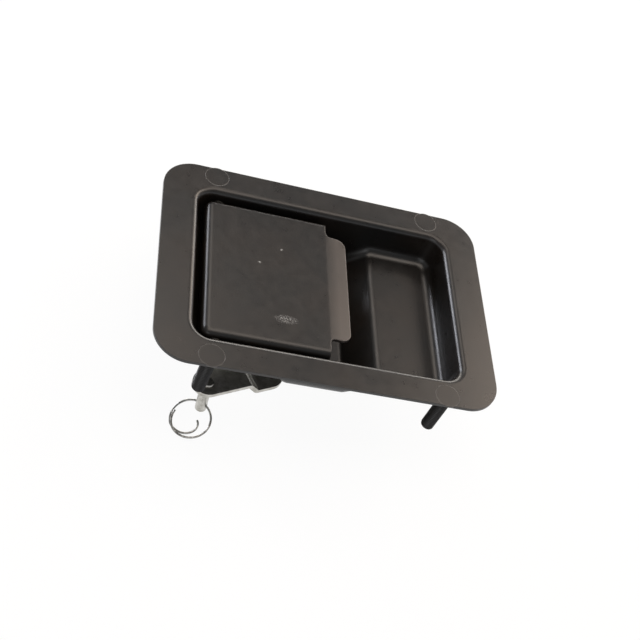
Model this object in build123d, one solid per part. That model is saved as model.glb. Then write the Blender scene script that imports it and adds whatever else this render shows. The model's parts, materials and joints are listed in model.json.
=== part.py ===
"""Flush-mounted paddle latch: a drawn steel dish with a pull-up paddle and a trip lever behind it.

Frame, in millimetres: the origin is the centre of the four-stud pattern on the back face of the
flange. +X runs along the long side towards the grip end, +Z stands out of the face. Depths are
measured down from the face of the flange, and height(depth) turns one into a Z value.
"""
from build123d import *
from math import atan2, cos, degrees, radians, sin, sqrt, tan
import os

# --- dish: flange, opening and the stepped pan that is drawn down from it
SHEET = 1.5
FLANGE_LENGTH = 150.0
FLANGE_WIDTH = 110.0
FLANGE_CORNER = 15.0
OPENING_LENGTH = 118.0
FLANGE_SIDE = 14.0
OPENING_CORNER = 8.0
LIP_RADIUS = 3.0
WALL_DRAFT = 6.5
PLATFORM_DEPTH = 13.0
WELL_DEPTH = 26.0
SHELF_DEPTH = 16.0
WELL_LEFT = -17.5
SHELF_LEFT = 27.0
SLOPE_ANGLE = 37.0
STEP_BEND = 3.0
WELL_BEND = 5.0
SCOOP_BEND = 4.0
SHELF_BEND = 5.0
FLOOR_FILLET = 4.5

# --- mounting studs: M6, flush heads pressed into the flange
STUD_INSET_X = 24.0
STUD_INSET_Y = 5.0
STUD_DIAMETER = 6.0
STUD_COLLAR_DIAMETER = 6.6
STUD_TIP_DEPTH = 23.0
STUD_HEAD_DIAMETER = 11.0
STUD_HEAD_THICKNESS = 0.8
STUD_HEAD_CHAMFER = 0.3
STUD_TIP_CHAMFER = 0.8

# --- paddle: formed sheet with three skirts and a grip tab
PADDLE_SHEET = 1.5
PADDLE_RECESS = 2.0
PADDLE_LENGTH = 55.8
PADDLE_SIDE_GAP = 3.0
PADDLE_END_GAP = 3.7
PADDLE_BEND = 3.5
PADDLE_CORNER = 4.0
SKIRT_HEIGHT = 6.5
TAB_LENGTH = 9.5
TAB_NOTCH = 9.0
TAB_CORNER = 4.5
TAB_FILLET = 2.5
TAB_TILT = 5.0
TAB_BEND = 4.0
TAB_ROOT = 6.0
EAR_RADIUS = 4.5

# --- paddle hinge
HINGE_INSET = 6.5
HINGE_DEPTH = 7.5
HINGE_PIN_DIAMETER = 5.0
HINGE_HEAD_DIAMETER = 8.0
HINGE_HEAD_THICKNESS = 1.5
PIN_END_CHAMFER = 0.5
SPACER_DIAMETER = 7.0
PIN_TAIL = 1.0
CLIP_THICKNESS = 0.8
CLIP_DIAMETER = 9.0
CLIP_GROOVE_DEPTH = 0.6
CLIP_MOUTH = 3.4
CLIP_RELIEF = 1.2

# --- drive finger under the paddle, and its slot in the platform
FINGER_WIDTH = 12.0
FINGER_Y = -6.0
FINGER_SHEET = 2.5
FINGER_FOOT_SHEET = 2.0
FINGER_FOOT_LENGTH = 13.0
FINGER_OFFSET = 3.2
FINGER_TIP_CLEARANCE = 1.0
FINGER_CORNER = 1.5
SLOT_CORNER = 1.0
PADDLE_SWING = 35.0

# --- trip lever behind the pan
LEVER_SHEET = 2.0
LEVER_DEPTH = 25.0
LEVER_JOGGLE = 5.6
CABLE_HOLE_X = -46.4
CABLE_HOLE_Y = -45.2
CABLE_LOBE_RADIUS = 6.3
REAR_LOBE_SPAN = 31.0
REAR_LOBE_RADIUS = 7.0
REAR_SLOT_WIDTH = 6.6
REAR_SLOT_TRAVEL = 3.0
LEVER_ANGLE = 26.4
PIVOT_ALONG = 10.4
PIVOT_ACROSS = 13.9
PIVOT_BOSS_RADIUS = 8.0
PIVOT_NECK_ALONG = 14.0
DRIVE_LOBE_RADIUS = 5.5
JOGGLE_START = 18.3
JOGGLE_RUN = 4.8
JOGGLE_BEND = 1.0

# --- lever pivot post, washer and clip
POST_DIAMETER = 10.0
POST_JOURNAL_DIAMETER = 6.0
POST_HEAD_DIAMETER = 9.0
POST_HEAD_THICKNESS = 1.0
POST_CLIP_DIAMETER = 10.5
WASHER_DIAMETER = 12.0
WASHER_THICKNESS = 0.8

# --- pins staked in the lever
DRIVE_PIN_DIAMETER = 5.0
DRIVE_PIN_TOP_DEPTH = 15.5
CABLE_PIN_DIAMETER = 5.0
CABLE_PIN_LENGTH = 17.2
CABLE_PIN_LEAN = 6.0
CROSS_HOLE_DIAMETER = 2.0
CROSS_HOLE_INSET = 3.9
CROSS_HOLE_TURN = -31.0
TENON_DIAMETER = 4.0
STAKED_HEAD_DIAMETER = 5.6
STAKED_HEAD_HEIGHT = 1.0
STAKED_HEAD_ROUNDING = 0.9

# --- cotter ring
RING_RADIUS = 8.65
RING_WIRE = 1.0
RING_HANG = 15.5
RING_SPREAD = 0.75
OUTER_ARM = 266.0
OUTER_ROUND = 205.0
OUTER_CURL = 1.25
INNER_ARM = 296.0
INNER_ROUND = 135.0
INNER_CURL = 5.8

# --- return springs: torsion coils on the hinge pin and on the pivot post
PADDLE_SPRING_WIRE = 1.0
PADDLE_SPRING_RADIUS = 3.2
PADDLE_SPRING_TURNS = 6
PADDLE_SPRING_END_Y = 1.5
PADDLE_SPRING_FOOT = 4.0
PADDLE_SPRING_HOOK_DEPTH = 11.5
PADDLE_SPRING_HOOK = 4.5
LEVER_SPRING_WIRE = 1.2
LEVER_SPRING_RADIUS = 6.0
LEVER_SPRING_SPARE_TURNS = 2
LEVER_SPRING_TOP_DEPTH = 16.0
LEVER_SPRING_FOOT = 8.0
LEVER_SPRING_OVERRUN = 3.0
COIL_GAP = 0.1
WIRE_SIDES = 8
WIRE_STEP = 20.0

# --- clearances
RUNNING_FIT = 0.05
END_PLAY = 0.1
SIDE_PLAY = 0.15
DRIVE_GAP = 0.2
SLOT_PLAY = 0.5
REST_GAP = 0.05

# --- places that follow from the sizes above
STUD_PITCH_X = FLANGE_LENGTH - 2 * STUD_INSET_X
STUD_PITCH_Y = FLANGE_WIDTH - 2 * STUD_INSET_Y
OPENING_WIDTH = FLANGE_WIDTH - 2 * FLANGE_SIDE
PADDLE_WIDTH = OPENING_WIDTH - 2 * PADDLE_SIDE_GAP
TAB_WIDTH = PADDLE_WIDTH - 2 * TAB_NOTCH
DRAFT_RUN = tan(radians(WALL_DRAFT))
DRAFT_OFFSET = 1 / cos(radians(WALL_DRAFT))
PADDLE_LEFT = -OPENING_LENGTH / 2 + PADDLE_END_GAP
PADDLE_RIGHT = PADDLE_LEFT + PADDLE_LENGTH
HINGE_X = PADDLE_LEFT + HINGE_INSET
FINGER_LEFT = HINGE_X + FINGER_OFFSET
FINGER_RIGHT = FINGER_LEFT + FINGER_SHEET
FINGER_TIP_DEPTH = LEVER_DEPTH - FINGER_TIP_CLEARANCE
DRIVE_PIN_X = FINGER_RIGHT + DRIVE_GAP + DRIVE_PIN_DIAMETER / 2
LEVER_ALONG = Vector(cos(radians(LEVER_ANGLE)), sin(radians(LEVER_ANGLE)))
LEVER_ACROSS = Vector(-LEVER_ALONG.Y, LEVER_ALONG.X)
CABLE_HOLE = Vector(CABLE_HOLE_X, CABLE_HOLE_Y)
REAR_LOBE = CABLE_HOLE + LEVER_ALONG * REAR_LOBE_SPAN
REAR_SLOT_INNER = REAR_LOBE - LEVER_ALONG * REAR_SLOT_TRAVEL
PIVOT = CABLE_HOLE + LEVER_ALONG * PIVOT_ALONG + LEVER_ACROSS * PIVOT_ACROSS
PIVOT_NECK = CABLE_HOLE + LEVER_ALONG * PIVOT_NECK_ALONG
DRIVE_PIN = Vector(DRIVE_PIN_X, FINGER_Y)
LEVER_BACK_DEPTH = LEVER_DEPTH + LEVER_SHEET
LEVER_SPRING_ROOM = LEVER_DEPTH - LEVER_SPRING_TOP_DEPTH
LEVER_SPRING_TURNS = int(LEVER_SPRING_ROOM / LEVER_SPRING_WIRE) - LEVER_SPRING_SPARE_TURNS


def height(depth):
    """Z of a point that lies this far below the face of the flange."""
    return SHEET - depth


def side_wall(depth, grow=0.0):
    """Distance of the pan's long walls from the centre line, on the inside or, grown, outside."""
    return OPENING_WIDTH / 2 + grow * DRAFT_OFFSET - depth * DRAFT_RUN


def cylinder_z(x, y, diameter, top_depth, bottom_depth):
    """Round bar that stands across the face, between two depths."""
    middle = height((top_depth + bottom_depth) / 2)
    return Pos(x, y, middle) * Cylinder(diameter / 2, bottom_depth - top_depth)


def cylinder_y(diameter, y_from, y_to):
    """Round bar on the paddle's hinge line."""
    place = Pos(HINGE_X, (y_from + y_to) / 2, height(HINGE_DEPTH)) * Rot(90, 0, 0)
    return place * Cylinder(diameter / 2, abs(y_to - y_from))


def block(x_from, x_to, y_from, y_to, top_depth, bottom_depth):
    """Rectangular block between two corners, with its heights given as depths."""
    centre = Pos((x_from + x_to) / 2, (y_from + y_to) / 2, height((top_depth + bottom_depth) / 2))
    return centre * Box(abs(x_to - x_from), abs(y_to - y_from), abs(bottom_depth - top_depth))


def rounded_corner(before, corner, after, radius):
    """Arc that rounds one corner of an outline, and the two points where it meets the straights."""
    to_before = (before - corner).normalized()
    to_after = (after - corner).normalized()
    half_turn = radians(to_before.get_angle(to_after)) / 2
    reach = radius / tan(half_turn)
    start = corner + to_before * reach
    end = corner + to_after * reach
    middle_way = (to_before + to_after).normalized()
    middle = corner + middle_way * (radius / sin(half_turn) - radius)
    return start, middle, end


def rounded_outline(points, radii):
    """Closed wire on the XZ plane through the points, with a radius at each (0 keeps it sharp)."""
    edges = []
    joints = []
    for index, corner in enumerate(points):
        before = points[index - 1]
        after = points[(index + 1) % len(points)]
        if radii[index] > 0:
            joints.append(rounded_corner(before, corner, after, radii[index]))
        else:
            joints.append((corner, None, corner))
    for index, (start, middle, end) in enumerate(joints):
        if middle is not None:
            edges.append(ThreePointArc(start, middle, end))
        next_start = joints[(index + 1) % len(joints)][0]
        edges.append(Line(end, next_start))
    return Wire(edges)


def pan_air(grow):
    """Solid that fills the pan: the space inside it, or with grow = SHEET its outer envelope."""
    mouth = RectangleRounded(
        OPENING_LENGTH + 2 * grow * DRAFT_OFFSET,
        OPENING_WIDTH + 2 * grow * DRAFT_OFFSET,
        OPENING_CORNER + grow,
    )
    well = WELL_DEPTH + grow
    platform = PLATFORM_DEPTH + grow
    shelf = SHELF_DEPTH + grow
    drawn = extrude(Pos(0, 0, SHEET) * mouth, amount=-well, taper=WALL_DRAFT)

    def wall_x(depth):
        return WELL_LEFT - grow * DRAFT_OFFSET + (depth - PLATFORM_DEPTH) * DRAFT_RUN

    def slope_x(depth):
        down = (depth - SHELF_DEPTH) / tan(radians(SLOPE_ANGLE))
        return SHELF_LEFT + grow / sin(radians(SLOPE_ANGLE)) - down

    beyond = OPENING_LENGTH
    corners = [
        (-beyond, 0.0, 0.0),
        (-beyond, platform, 0.0),
        (wall_x(platform), platform, STEP_BEND - grow),
        (wall_x(well), well, WELL_BEND + grow),
        (slope_x(well), well, SCOOP_BEND + grow),
        (slope_x(shelf), shelf, SHELF_BEND - grow),
        (beyond, shelf, 0.0),
        (beyond, 0.0, 0.0),
    ]
    points = [Vector(x, 0, height(depth)) for x, depth, radius in corners]
    radii = [radius for x, depth, radius in corners]
    stepped_floor = Face(rounded_outline(points, radii))
    air = drawn & extrude(stepped_floor, amount=OPENING_WIDTH, both=True)

    # The rounding of the two upright corners of the well runs on round the whole floor.
    upright = [
        edge
        for edge in air.edges()
        if abs(edge.center().X - WELL_LEFT) < STEP_BEND + grow
        and abs(edge.center().Y) > OPENING_WIDTH / 4
        and abs((edge @ 1 - edge @ 0).normalized().Z) > 0.9
    ]
    return fillet(upright, FLOOR_FILLET + grow)


def opening_edges(part, level):
    """Edges of the opening that lie in one plane of the flange."""
    reach = OPENING_LENGTH / 2 + 2 * SHEET
    in_plane = part.edges().filter_by_position(Axis.Z, level - 0.01, level + 0.01)
    return [edge for edge in in_plane if edge.bounding_box().max.X < reach
            and edge.bounding_box().min.X > -reach
            and abs(edge.center().Y) < OPENING_WIDTH / 2 + 2 * SHEET]


def finger_reach(depth, swing):
    """X of the drive finger's pushing face at a depth, with the paddle swung up by an angle."""
    turn = radians(swing)
    lever_arm = FINGER_OFFSET + FINGER_SHEET
    along = (depth - HINGE_DEPTH + lever_arm * sin(turn)) / cos(turn)
    return HINGE_X + lever_arm * cos(turn) + along * sin(turn)


def stud_places():
    """The four stud centres, by name."""
    return {
        f"mounting_stud_{row}_{column}": (sign_x * STUD_PITCH_X / 2, sign_y * STUD_PITCH_Y / 2)
        for row, sign_y in (("top", 1), ("bottom", -1))
        for column, sign_x in (("left", -1), ("right", 1))
    }


def dish():
    """Flange and stepped pan, drawn from one sheet, with the holes that its pieces sit in."""
    flange = extrude(RectangleRounded(FLANGE_LENGTH, FLANGE_WIDTH, FLANGE_CORNER), amount=SHEET)
    part = flange + pan_air(SHEET) - pan_air(0.0)
    part = fillet(opening_edges(part, SHEET), LIP_RADIUS)
    part = fillet(opening_edges(part, 0.0), LIP_RADIUS - SHEET)

    slot_left = FINGER_LEFT - SLOT_PLAY
    slot_right = finger_reach(PLATFORM_DEPTH + SHEET, PADDLE_SWING) + SLOT_PLAY
    slot_half_width = FINGER_WIDTH / 2 + SLOT_PLAY
    slot = block(
        slot_left, slot_right, FINGER_Y - slot_half_width, FINGER_Y + slot_half_width,
        PLATFORM_DEPTH - SHEET, PLATFORM_DEPTH + 2 * SHEET,
    )
    part -= fillet(slot.edges().filter_by(Axis.Z), SLOT_CORNER)
    part -= cylinder_z(PIVOT.X, PIVOT.Y, POST_JOURNAL_DIAMETER, 0, WELL_DEPTH)
    part -= cylinder_y(HINGE_PIN_DIAMETER + 2 * RUNNING_FIT, -OPENING_WIDTH, OPENING_WIDTH)
    for x, y in stud_places().values():
        part -= cylinder_z(x, y, STUD_COLLAR_DIAMETER, 0, SHEET)
        part -= cylinder_z(x, y, STUD_HEAD_DIAMETER, 0, STUD_HEAD_THICKNESS)
    return part


def mounting_stud(x, y):
    """M6 stud: thin head flush with the face, a collar pressed into the flange, then the shank."""
    head = cylinder_z(x, y, STUD_HEAD_DIAMETER, 0, STUD_HEAD_THICKNESS)
    head = chamfer(head.edges().sort_by(Axis.Z)[-1], STUD_HEAD_CHAMFER)
    collar = cylinder_z(x, y, STUD_COLLAR_DIAMETER, STUD_HEAD_THICKNESS, SHEET)
    shank = cylinder_z(x, y, STUD_DIAMETER, SHEET, STUD_TIP_DEPTH)
    return head + collar + chamfer(shank.edges().sort_by(Axis.Z)[0], STUD_TIP_CHAMFER)


def folded_tray(inset):
    """Block that the folded paddle is shelled from: its outside, or its inside at an inset."""
    half = PADDLE_WIDTH / 2 - inset
    open_end = PADDLE_RIGHT + inset
    top = PADDLE_RECESS + inset
    bottom = PADDLE_RECESS + SKIRT_HEIGHT + inset
    tray = block(PADDLE_LEFT + inset, open_end, -half, half, top, bottom)
    corners = tray.edges().filter_by(Axis.Z).sort_by(Axis.X)[:2]
    tray = fillet(corners, PADDLE_CORNER - inset)
    rim = tray.faces().sort_by(Axis.Z)[-1].edges()
    bends = [edge for edge in rim if edge.center().X < open_end - inset - 0.1]
    return fillet(bends, PADDLE_BEND - inset)


def grip_tab():
    """Flat grip that leaves the open end of the paddle, bent slightly down at its root."""
    root = PADDLE_RIGHT - TAB_ROOT
    flat_half = PADDLE_WIDTH / 2 - PADDLE_BEND
    strip = Pos(PADDLE_RIGHT - TAB_ROOT / 2, 0) * Rectangle(TAB_ROOT, 2 * flat_half)
    tongue = Pos(root + (TAB_ROOT + TAB_LENGTH) / 2, 0) * Rectangle(TAB_ROOT + TAB_LENGTH, TAB_WIDTH)
    plan = strip + tongue
    tips = plan.vertices().sort_by(Axis.X)[-2:]
    plan = fillet(tips, TAB_CORNER)
    inner = [v for v in plan.vertices() if abs(v.X - PADDLE_RIGHT) < 0.01 and abs(v.Y) < flat_half - 0.1]
    plan = fillet(inner, TAB_FILLET)
    column = Pos(0, 0, height(PADDLE_RECESS + SKIRT_HEIGHT)) * extrude(plan, amount=2 * SKIRT_HEIGHT)

    top = PADDLE_RECESS
    bottom = PADDLE_RECESS + PADDLE_SHEET
    drop = (2 * TAB_LENGTH) * tan(radians(TAB_TILT))
    bend_shift = PADDLE_SHEET * tan(radians(TAB_TILT / 2))
    far = PADDLE_RIGHT + 2 * TAB_LENGTH
    corners = [
        (root, top, 0.0),
        (PADDLE_RIGHT, top, TAB_BEND),
        (far, top + drop, 0.0),
        (far - bend_shift, bottom + drop, 0.0),
        (PADDLE_RIGHT - bend_shift, bottom, TAB_BEND - PADDLE_SHEET),
        (root, bottom, 0.0),
    ]
    points = [Vector(x, 0, height(depth)) for x, depth, radius in corners]
    bent = Face(rounded_outline(points, [radius for x, depth, radius in corners]))
    return column & extrude(bent, amount=PADDLE_WIDTH, both=True)


def paddle():
    """Formed sheet cover: top face, skirts on three sides, ears for the hinge pin, grip tab."""
    inside = PADDLE_WIDTH / 2 - PADDLE_SHEET
    part = folded_tray(0.0) - folded_tray(PADDLE_SHEET) + grip_tab()
    below_bend = block(
        PADDLE_LEFT, PADDLE_RIGHT, -PADDLE_WIDTH, PADDLE_WIDTH,
        PADDLE_RECESS + PADDLE_BEND, PADDLE_RECESS + PADDLE_BEND + 4 * EAR_RADIUS,
    )
    for side in (-1, 1):
        part += below_bend & cylinder_y(2 * EAR_RADIUS, side * inside, side * PADDLE_WIDTH / 2)
    return part - cylinder_y(HINGE_PIN_DIAMETER + 2 * RUNNING_FIT, -PADDLE_WIDTH, PADDLE_WIDTH)


def drive_finger():
    """Angle strip welded under the paddle: its leg hangs through the slot and pushes the lever."""
    under = PADDLE_RECESS + PADDLE_SHEET
    half = FINGER_WIDTH / 2
    foot = block(
        FINGER_LEFT, FINGER_LEFT + FINGER_FOOT_LENGTH, FINGER_Y - half, FINGER_Y + half,
        under, under + FINGER_FOOT_SHEET,
    )
    foot = fillet(foot.edges().filter_by(Axis.Z).sort_by(Axis.X)[-2:], FINGER_CORNER)
    leg = block(
        FINGER_LEFT, FINGER_RIGHT, FINGER_Y - half, FINGER_Y + half,
        under, FINGER_TIP_DEPTH,
    )
    leg = fillet(leg.edges().filter_by(Axis.X).sort_by(Axis.Z)[:2], FINGER_CORNER)
    return foot + leg


def hinge_pin():
    """Headed pin through both walls of the pan, grooved for a clip at its far end."""
    head_face = side_wall(HINGE_DEPTH - HINGE_HEAD_DIAMETER / 2, SHEET) + REST_GAP
    clip_face = side_wall(HINGE_DEPTH - CLIP_DIAMETER / 2, SHEET) + REST_GAP
    end = clip_face + CLIP_THICKNESS + PIN_TAIL
    pin = cylinder_y(HINGE_PIN_DIAMETER, -head_face, end)
    pin = chamfer(pin.edges().sort_by(Axis.Y)[-1], PIN_END_CHAMFER)
    head = cylinder_y(HINGE_HEAD_DIAMETER, -head_face - HINGE_HEAD_THICKNESS, -head_face)
    head = chamfer(head.edges().sort_by(Axis.Y)[0], PIN_END_CHAMFER)
    neck = HINGE_PIN_DIAMETER - 2 * CLIP_GROOVE_DEPTH
    groove = cylinder_y(2 * HINGE_PIN_DIAMETER, clip_face - REST_GAP, clip_face + CLIP_THICKNESS + REST_GAP)
    groove -= cylinder_y(neck, clip_face - 1, clip_face + CLIP_THICKNESS + 1)
    return pin + head - groove, clip_face


def snap_ring(bore, outside, thickness):
    """Open retaining ring that lies flat on the XY plane, with its mouth towards +X."""
    ring = Circle(outside / 2) - Circle(bore / 2)
    ring -= Pos(outside / 2, 0) * Rectangle(outside, CLIP_MOUTH)
    for angle in (60, 180, 300):
        ring -= Rot(0, 0, angle) * Pos(bore / 2 + CLIP_RELIEF / 3, 0) * Circle(CLIP_RELIEF / 2)
    return extrude(ring, amount=thickness)


def hinge_clip(clip_face):
    """Retaining ring in the groove of the hinge pin."""
    bore = HINGE_PIN_DIAMETER - 2 * CLIP_GROOVE_DEPTH
    ring = snap_ring(bore, CLIP_DIAMETER, CLIP_THICKNESS)
    return Pos(HINGE_X, clip_face, height(HINGE_DEPTH)) * Rot(-90, 0, 0) * ring


def hinge_spacer(side):
    """Sleeve on the hinge pin that centres the paddle between the walls of the pan."""
    bend_centre_depth = PLATFORM_DEPTH - FLOOR_FILLET
    bend_centre_y = side_wall(bend_centre_depth) - FLOOR_FILLET * DRAFT_OFFSET
    below_centre = HINGE_DEPTH + SPACER_DIAMETER / 2 - bend_centre_depth
    floor_bend_y = bend_centre_y + sqrt(FLOOR_FILLET**2 - below_centre**2)
    inner_end = side * (PADDLE_WIDTH / 2 + SIDE_PLAY)
    outer_end = side * (floor_bend_y - REST_GAP)
    sleeve = cylinder_y(SPACER_DIAMETER, inner_end, outer_end)
    return sleeve - cylinder_y(HINGE_PIN_DIAMETER + 2 * RUNNING_FIT, -OPENING_WIDTH, OPENING_WIDTH)


def pivot_post():
    """Turned post riveted into the platform, with a journal for the lever and a clip groove."""
    x, y = PIVOT.X, PIVOT.Y
    under_platform = PLATFORM_DEPTH + SHEET
    shoulder = LEVER_DEPTH - REST_GAP
    washer_top = LEVER_BACK_DEPTH + REST_GAP
    clip_top = washer_top + WASHER_THICKNESS + REST_GAP
    tail_end = clip_top + CLIP_THICKNESS + PIN_TAIL
    head = cylinder_z(x, y, POST_HEAD_DIAMETER, PLATFORM_DEPTH - POST_HEAD_THICKNESS, PLATFORM_DEPTH)
    head = chamfer(head.edges().sort_by(Axis.Z)[-1], POST_HEAD_THICKNESS / 2)
    part = head + cylinder_z(x, y, POST_JOURNAL_DIAMETER, PLATFORM_DEPTH, under_platform)
    part += cylinder_z(x, y, POST_DIAMETER, under_platform, shoulder)
    journal = cylinder_z(x, y, POST_JOURNAL_DIAMETER, shoulder, tail_end)
    part += chamfer(journal.edges().sort_by(Axis.Z)[0], PIN_END_CHAMFER)
    neck = POST_JOURNAL_DIAMETER - 2 * CLIP_GROOVE_DEPTH
    groove = cylinder_z(x, y, 2 * POST_DIAMETER, clip_top - REST_GAP, clip_top + CLIP_THICKNESS + REST_GAP)
    groove -= cylinder_z(x, y, neck, clip_top - 1, clip_top + CLIP_THICKNESS + 1)
    washer = cylinder_z(x, y, WASHER_DIAMETER, washer_top, washer_top + WASHER_THICKNESS)
    washer -= cylinder_z(x, y, POST_JOURNAL_DIAMETER + 2 * RUNNING_FIT, washer_top - 1, clip_top + 1)
    ring = snap_ring(neck, POST_CLIP_DIAMETER, CLIP_THICKNESS)
    clip = Pos(x, y, height(clip_top + CLIP_THICKNESS)) * ring
    return part - groove, washer, clip


def lobe(place, radius):
    """Circle of the lever's outline."""
    return Pos(place.X, place.Y) * Circle(radius).edge()


def lever():
    """Pressed plate: cable lobe, pivot boss and drive arm in one plane, rear lobe joggled down."""
    drive_arm = make_hull([lobe(PIVOT, DRIVE_LOBE_RADIUS), lobe(DRIVE_PIN, DRIVE_LOBE_RADIUS)])
    part = extrude(Pos(0, 0, height(LEVER_BACK_DEPTH)) * drive_arm, amount=LEVER_SHEET)

    bar = make_hull([lobe(CABLE_HOLE, CABLE_LOBE_RADIUS), lobe(REAR_LOBE, REAR_LOBE_RADIUS)])
    boss = make_hull([lobe(PIVOT_NECK, CABLE_LOBE_RADIUS), lobe(PIVOT, PIVOT_BOSS_RADIUS)])
    body = bar + boss
    below = LEVER_BACK_DEPTH + LEVER_JOGGLE + LEVER_SHEET
    column = extrude(Pos(0, 0, height(below)) * body, amount=below)
    shift = LEVER_SHEET * tan(atan2(LEVER_JOGGLE, JOGGLE_RUN) / 2)
    far = 2 * REAR_LOBE_SPAN
    low = LEVER_DEPTH + LEVER_JOGGLE
    joggle_end = JOGGLE_START + JOGGLE_RUN
    corners = [
        (-far, LEVER_DEPTH, 0.0),
        (JOGGLE_START, LEVER_DEPTH, JOGGLE_BEND + LEVER_SHEET),
        (joggle_end, low, JOGGLE_BEND),
        (far, low, 0.0),
        (far, low + LEVER_SHEET, 0.0),
        (joggle_end - shift, low + LEVER_SHEET, JOGGLE_BEND + LEVER_SHEET),
        (JOGGLE_START - shift, LEVER_BACK_DEPTH, JOGGLE_BEND),
        (-far, LEVER_BACK_DEPTH, 0.0),
    ]
    points = [Vector(x, 0, height(depth)) for x, depth, radius in corners]
    section = Face(rounded_outline(points, [radius for x, depth, radius in corners]))
    sheet = extrude(section, amount=far, both=True)
    part += column & (Pos(CABLE_HOLE.X, CABLE_HOLE.Y, 0) * Rot(0, 0, LEVER_ANGLE) * sheet)

    bores = (
        (PIVOT, POST_JOURNAL_DIAMETER + 2 * RUNNING_FIT),
        (CABLE_HOLE, TENON_DIAMETER),
        (DRIVE_PIN, TENON_DIAMETER),
    )
    for place, diameter in bores:
        part -= cylinder_z(place.X, place.Y, diameter, PLATFORM_DEPTH, below)
    slot = make_hull([
        lobe(REAR_SLOT_INNER, REAR_SLOT_WIDTH / 2),
        lobe(REAR_LOBE, REAR_SLOT_WIDTH / 2),
    ])
    return part - extrude(Pos(0, 0, height(below)) * slot, amount=below)


def staked_tenon(place, head_depth, outward):
    """Tenon of a pin through the lever, peened over to a round head on one side of it."""
    tenon = cylinder_z(place.X, place.Y, TENON_DIAMETER, LEVER_DEPTH, LEVER_BACK_DEPTH)
    crown = head_depth + outward * STAKED_HEAD_HEIGHT
    head = cylinder_z(place.X, place.Y, STAKED_HEAD_DIAMETER, *sorted((head_depth, crown)))
    rim = head.edges().sort_by(Axis.Z)[0 if outward > 0 else -1]
    return tenon + fillet(rim, STAKED_HEAD_ROUNDING)


def drive_pin():
    """Pin that stands up from the drive arm, in the way of the drive finger."""
    place = DRIVE_PIN
    shank = cylinder_z(place.X, place.Y, DRIVE_PIN_DIAMETER, DRIVE_PIN_TOP_DEPTH, LEVER_DEPTH)
    shank = chamfer(shank.edges().sort_by(Axis.Z)[-1], PIN_END_CHAMFER)
    return shank + staked_tenon(place, LEVER_BACK_DEPTH, 1)


def on_cable_pin(distance):
    """Place on the leaning axis of the cable pin, at a distance from the back of the lever."""
    root = Pos(CABLE_HOLE.X, CABLE_HOLE.Y, height(LEVER_BACK_DEPTH))
    return root * Rot(0, -CABLE_PIN_LEAN, 0) * Pos(0, 0, -distance)


def cable_pin():
    """Pin that leans out of the back of the lever and carries the cable eye."""
    radius = CABLE_PIN_DIAMETER / 2
    into_lever = LEVER_SHEET / 2
    bar = Cylinder(radius, CABLE_PIN_LENGTH + into_lever, align=(Align.CENTER, Align.CENTER, Align.MIN))
    bar = chamfer(bar.edges().sort_by(Axis.Z)[0], PIN_END_CHAMFER)
    shank = on_cable_pin(CABLE_PIN_LENGTH) * bar
    shank -= cylinder_z(CABLE_HOLE.X, CABLE_HOLE.Y, 4 * radius, LEVER_DEPTH - 1, LEVER_BACK_DEPTH)
    cross_hole = on_cable_pin(CABLE_PIN_LENGTH - CROSS_HOLE_INSET) * Rot(0, 0, CROSS_HOLE_TURN)
    drill = cross_hole * Rot(0, 90, 0) * Cylinder(CROSS_HOLE_DIAMETER / 2, 4 * radius)
    return shank + staked_tenon(CABLE_HOLE, LEVER_DEPTH, -1) - drill


def cotter_ring():
    """Spring-wire ring through the cross hole: its arms pass side by side and curl inwards."""
    place = on_cable_pin(CABLE_PIN_LENGTH - CROSS_HOLE_INSET) * Rot(0, 0, CROSS_HOLE_TURN)
    hang = Vector(0, -cos(radians(RING_HANG)), -sin(radians(RING_HANG)))
    across = Vector(1, 0, 0)
    normal = hang.cross(across)

    def point(angle):
        arm, straight, curl = (OUTER_ARM, OUTER_ROUND, OUTER_CURL)
        if angle < 0:
            arm, straight, curl = (INNER_ARM, INNER_ROUND, INNER_CURL)
        radius = RING_RADIUS - curl * max(0.0, abs(angle) - straight) / (arm - straight)
        turn = radians(angle)
        in_plane = across * sin(turn) * radius - hang * cos(turn) * radius
        return hang * RING_RADIUS + in_plane + normal * (RING_SPREAD * angle / 180)

    whole = OUTER_ARM + INNER_ARM
    steps = round(whole / WIRE_STEP)
    wire = drawn_wire([point(whole * i / steps - INNER_ARM) for i in range(steps + 1)], RING_WIRE)
    return place * wire


def drawn_wire(points, thickness):
    """Wire bent through the points in short straight lengths, with an eight-sided section."""
    path = Polyline(points)
    section = Plane(origin=path @ 0, z_dir=path % 0) * RegularPolygon(thickness / 2, WIRE_SIDES)
    return sweep(section, path=path, transition=Transition.RIGHT)


def departure(target, radius, sense):
    """Angle where a straight line to a target leaves a circle that is turned round in one sense."""
    distance = sqrt(target[0] ** 2 + target[1] ** 2)
    bearing = degrees(atan2(target[1], target[0]))
    return bearing - sense * degrees(atan2(sqrt(distance**2 - radius**2), radius))


def torsion_spring(wire, radius, turns, fixed, moving, rest_radius, overrun, hook):
    """Close coil on the Z axis with two straight legs, one to a fixed and one to a moving point.

    The moving leg passes a round bar of rest_radius at its target, runs on past it by overrun and
    ends in a hook along Z.
    """
    start = departure(fixed, radius, -1)
    end = departure(moving, radius + rest_radius, 1)
    turned = 360 * turns + end - start
    rise = (wire + COIL_GAP) / 360
    steps = round(turned / WIRE_STEP)
    points = [Vector(*fixed)]
    for step in range(steps + 1):
        angle = turned * step / steps
        around = radians(start + angle)
        points.append(Vector(radius * cos(around), radius * sin(around), rise * angle))
    leave = points[-1]
    onward = Vector(-sin(radians(end)), cos(radians(end)))
    distance = sqrt(moving[0] ** 2 + moving[1] ** 2)
    length = sqrt(distance**2 - (radius + rest_radius) ** 2) + overrun
    bend = 1.5 * wire if hook else 0.0
    points.append(leave + onward * (length - bend))
    if hook:
        corner = leave + onward * length
        up = Vector(0, 0, 1)
        points.append(corner + (up - onward) * bend * (1 - sin(radians(45))))
        points += [corner + up * bend, corner + up * hook]
    return drawn_wire(points, wire)


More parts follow.
